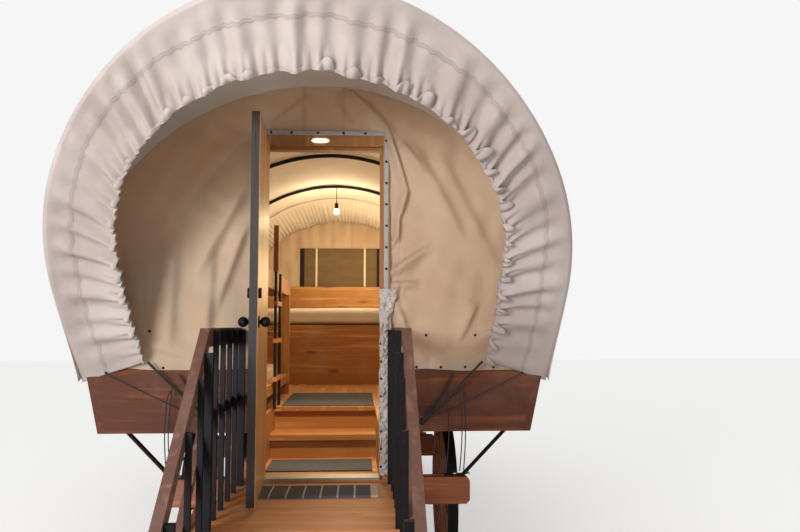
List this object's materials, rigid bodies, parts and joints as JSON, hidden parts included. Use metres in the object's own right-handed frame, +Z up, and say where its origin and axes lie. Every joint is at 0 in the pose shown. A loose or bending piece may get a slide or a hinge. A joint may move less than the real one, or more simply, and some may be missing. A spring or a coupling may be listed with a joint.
{
  "type": "covered wagon cabin",
  "caption": "Covered wagon for sleeping in: flared timber box on spoked wooden wheels, canvas bonnet with gathered hoods, door, steps with rails, bed and bunks.",
  "frame": {"origin": "on the ground, midway between the ends of the hand rails and the tongue's tip, on the wagon's centre line", "axes": "+Z up, +Y along the wagon from the door end to the tongue, +X to the right for someone who faces the door"},
  "size_m": [2.9, 9.1204, 3.2697],
  "materials": {
    "cover_canvas": "matt waxed canvas, slightly translucent",
    "hood_canvas": "matt waxed canvas in gathers",
    "end_canvas": "matt waxed canvas",
    "stained_board": "reddish brown stain, satin",
    "timber": "brown oiled timber",
    "wheel_wood": "brown oiled timber",
    "pine": "warm pine, satin varnish",
    "deck_wood": "worn pine boards",
    "rail_wood": "reddish stained rail",
    "door_paint": "dark stain outside, pine inside",
    "black_iron": "satin black",
    "iron": "worn dark iron",
    "steel": "galvanised",
    "mattress": "woven cotton",
    "mat": "dark grey ribbed mat",
    "window_cloth": "dark woven mesh",
    "lamp_glass": "clear bulb"
  },
  "bodies": {
    "wagon": {"bed_mattress": "mattress", "bed_platform": "pine", "bolster_stacks": "timber", "bolsters": "timber", "box_end_front": "stained_board", "box_end_rear": "stained_board", "box_sides": "stained_board", "brace_irons": "black_iron", "bunk_boards": "pine", "bunk_ladder": "black_iron", "bunk_mattresses": "mattress", "bunk_posts": "pine", "chassis_rails": "timber", "circle_iron_upper": "iron", "cover_barrel": "cover_canvas", "cross_beams": "timber", "door_frame": "pine", "door_sill": "steel", "end_canvas_front": "end_canvas", "end_canvas_rear": "end_canvas", "end_hoops": "black_iron", "entry_well": "pine", "floor": "pine", "floor_joists": "timber", "hand_rails": "rail_wood", "hanging_lamp": "lamp_glass", "headboard": "pine", "header_light": "lamp_glass", "hinge_pins": "black_iron", "hoods": "hood_canvas", "hoops": "black_iron", "kingpin": "iron", "mats": "mat", "mid_rails": "pine", "rail_posts": "black_iron", "reach_pole": "timber", "rear_axle": "timber", "step_boards": "deck_wood", "step_frame": "deck_wood", "top_rails": "timber", "window_flap": "window_cloth"},
    "door": {"door_leaf": "door_paint", "door_knobs": "black_iron", "hinge_leaves": "black_iron"},
    "front_axle": {"front_axle": "timber", "circle_iron_lower": "iron", "hounds": "timber"},
    "tongue": {"tongue": "timber", "tongue_ferrule": "iron"},
    "wheel_rear_right": {"wheel_rear_right": "wheel_wood", "tyre_rear_right": "iron"},
    "wheel_rear_left": {"wheel_rear_left": "wheel_wood", "tyre_rear_left": "iron"},
    "wheel_front_right": {"wheel_front_right": "wheel_wood", "tyre_front_right": "iron"},
    "wheel_front_left": {"wheel_front_left": "wheel_wood", "tyre_front_left": "iron"}
  },
  "joints": [
    {"name": "door_swing", "type": "hinge", "parent": "wagon", "child": "door", "pos_m": [-0.3535, -2.74874, 1.85], "axis": [0, 0, 1], "range_deg": [-3, 87]},
    {"name": "steering", "type": "hinge", "parent": "wagon", "child": "front_axle", "pos_m": [0, 1.48726, 0.6], "axis": [0, 0, 1], "range_deg": [-20, 20]},
    {"name": "tongue_lift", "type": "hinge", "parent": "front_axle", "child": "tongue", "pos_m": [0, 1.88726, 0.457], "axis": [1, 0, 0], "range_deg": [0, 20]},
    {"name": "rear_right_wheel_spin", "type": "hinge", "parent": "wagon", "child": "wheel_rear_right", "pos_m": [0.881, -1.76274, 0.535], "axis": [1, 0, 0], "continuous": true},
    {"name": "front_right_wheel_spin", "type": "hinge", "parent": "front_axle", "child": "wheel_front_right", "pos_m": [0.881, 1.48726, 0.457], "axis": [1, 0, 0], "continuous": true},
    {"name": "rear_left_wheel_spin", "type": "hinge", "parent": "wagon", "child": "wheel_rear_left", "pos_m": [-0.881, -1.76274, 0.535], "axis": [1, 0, 0], "continuous": true},
    {"name": "front_left_wheel_spin", "type": "hinge", "parent": "front_axle", "child": "wheel_front_left", "pos_m": [-0.881, 1.48726, 0.457], "axis": [1, 0, 0], "continuous": true}
  ]
}
